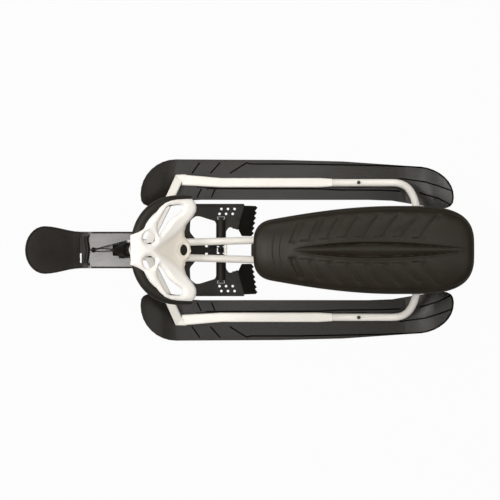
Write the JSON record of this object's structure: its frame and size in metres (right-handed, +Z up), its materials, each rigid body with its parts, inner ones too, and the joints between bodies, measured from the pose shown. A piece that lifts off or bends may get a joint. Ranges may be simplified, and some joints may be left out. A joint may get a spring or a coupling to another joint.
{
  "type": "steering sled",
  "caption": "Steering sled with a tube frame, wide rear skis, a steered front ski under a wheel, a toothed foot brake, a padded seat and a tow cord.",
  "frame": {"origin": "on the floor under the middle of the sled's length and width, where the ski keels stand", "axes": "-X points forward, the way the sled runs; +Y is the rider's right-hand side; +Z is up"},
  "size_m": [1.165, 0.49, 0.4358],
  "materials": {
    "white_paint": "satin white powder coat on steel tube",
    "white_moulding": "moulded white ABS, soft sheen",
    "black_ski_plastic": "moulded black polyethylene, semi-gloss",
    "black_moulding": "moulded black nylon, matt",
    "black_steel": "black powder coat on steel plate",
    "soft_black_grip": "soft moulded grip, matt",
    "black_seat_skin": "self-skinned seat foam, fine grain",
    "zinc_steel": "bright zinc plate",
    "black_cord": "braided cord"
  },
  "bodies": {
    "frame": {"brake_hanger_left": "white_paint", "brake_hanger_right": "white_paint", "brake_pivot_rod": "zinc_steel", "brake_spring": "zinc_steel", "brake_stop_pin": "zinc_steel", "centre_rail_left": "white_paint", "centre_rail_right": "white_paint", "front_strut_left": "white_paint", "front_strut_right": "white_paint", "head_bush_lower": "black_moulding", "head_bush_upper": "black_moulding", "head_tube": "white_paint", "rail_cross_bar": "white_paint", "rear_hoop": "white_paint", "rear_ski_left": "black_ski_plastic", "rear_ski_right": "black_ski_plastic", "rod_cap_left": "black_moulding", "rod_cap_right": "black_moulding", "seat_bolt_front": "zinc_steel", "seat_bolt_rear": "zinc_steel", "seat_pad": "black_seat_skin", "seat_pan": "black_moulding", "seat_strap_front": "white_paint", "seat_strap_rear": "white_paint", "side_rail_left": "white_paint", "side_rail_right": "white_paint", "ski_saddle_front_left": "black_moulding", "ski_saddle_front_right": "black_moulding", "ski_saddle_rear_left": "black_moulding", "ski_saddle_rear_right": "black_moulding", "ski_screw_left": "zinc_steel", "ski_screw_right": "zinc_steel"},
    "steering": {"steering_column": "zinc_steel", "column_collar_lower": "black_moulding", "column_collar_upper": "black_moulding", "wheel_rim": "soft_black_grip", "wheel_spider": "white_moulding", "hub_cap": "black_moulding", "hub_bolt": "zinc_steel", "steering_fork": "black_moulding", "reel_housing": "black_moulding", "reel_cover": "black_moulding", "reel_pin": "zinc_steel", "cord_spout": "white_moulding"},
    "reel_drum": {"reel_drum": "white_moulding"},
    "front_ski": {"front_ski": "black_ski_plastic", "ski_bracket": "black_moulding", "ski_pivot_bolt": "zinc_steel", "ski_pivot_nut": "zinc_steel", "cord_guide": "black_moulding", "tow_cord": "black_cord", "return_cord": "black_cord"},
    "tow_handle": {"tow_handle": "black_moulding", "tow_line": "black_cord"},
    "brake": {"brake_plate": "black_moulding", "brake_claw_left": "black_steel", "brake_claw_right": "black_steel", "claw_bolt_left": "black_steel", "claw_bolt_right": "black_steel"}
  },
  "joints": [
    {"name": "steering", "type": "hinge", "parent": "frame", "child": "steering", "pos_m": [-0.3284, 0, 0.05], "axis": [0.524, 0, 0.8517], "range_deg": [-28, 28]},
    {"name": "ski_pitch", "type": "hinge", "parent": "steering", "child": "front_ski", "pos_m": [-0.3284, 0, 0.05], "axis": [0, 1, 0], "range_deg": [-12, 12], "deforming": ["tow_cord", "return_cord"]},
    {"name": "brake", "type": "hinge", "parent": "frame", "child": "brake", "pos_m": [-0.06, 0, 0.076], "axis": [0, 1, 0], "range_deg": [0, 23], "stiffness_Nm_per_rad": 1.5, "springref_deg": -34.38, "deforming": ["brake_spring"]},
    {"name": "tow_pull", "type": "slide", "parent": "front_ski", "child": "tow_handle", "axis": [-0.766, 0, 0.6428], "range_m": [0, 1.1], "stiffness_N_per_m": 3, "springref_m": -0.8, "deforming": ["tow_line"]},
    {"name": "reel_spin", "type": "hinge", "parent": "steering", "child": "reel_drum", "pos_m": [-0.27088, 0.018, 0.05571], "axis": [0, 1, 0], "range_deg": [-3600, 0]}
  ],
  "couplings": [
    {"joint": "reel_spin", "follows": "tow_pull", "rad_per_m": -55}
  ]
}
